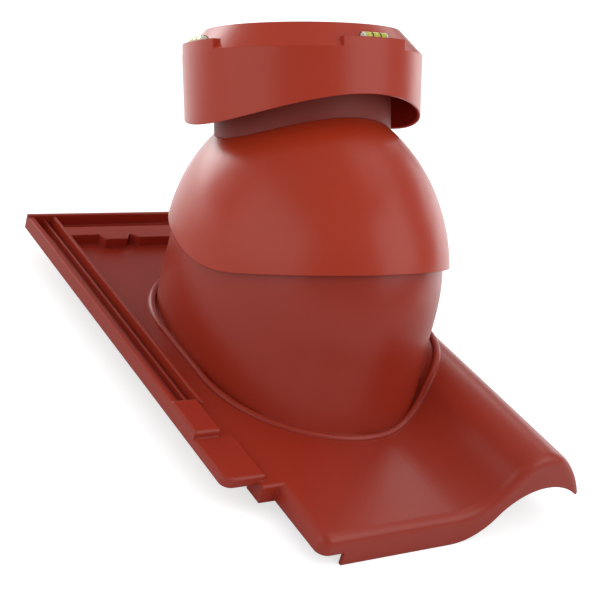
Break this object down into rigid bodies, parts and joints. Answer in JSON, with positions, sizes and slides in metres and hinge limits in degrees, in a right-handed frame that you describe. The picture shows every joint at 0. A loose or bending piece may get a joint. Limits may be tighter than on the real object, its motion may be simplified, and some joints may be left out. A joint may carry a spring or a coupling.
{
  "type": "roof tile vent",
  "caption": "Moulded S-profile roof tile with a domed bulb; a hood, vent pipe and rain cap tilt on it so the pipe can be levelled by the cap's vials on roofs of different pitch.",
  "frame": {"origin": "middle of the box's bottom, on the plane that the front skirt and the nibs rest on", "axes": "+X across the roof towards the roll, +Y up the slope, +Z away from the roof"},
  "size_m": [0.2452, 0.3996, 0.2632],
  "materials": {
    "tile_plastic": "injection-moulded terracotta polypropylene, satin",
    "hood_plastic": "injection-moulded terracotta polypropylene, satin",
    "pipe_plastic": "injection-moulded terracotta polypropylene, satin",
    "cap_plastic": "injection-moulded terracotta polypropylene, satin",
    "vial_acrylic": "clear acrylic tube with yellow-green spirit"
  },
  "bodies": {
    "tile": {"base_tile": "tile_plastic"},
    "vent_head": {"hood": "hood_plastic", "vent_pipe": "pipe_plastic", "rain_cap": "cap_plastic", "level_vial_front": "vial_acrylic", "level_vial_left": "vial_acrylic"}
  },
  "joints": [
    {"name": "pipe_tilt", "type": "hinge", "parent": "tile", "child": "vent_head", "pos_m": [0.0061, 0.0138, 0.0859], "axis": [1, 0, 0], "range_deg": [-13.5, 16.5]}
  ]
}
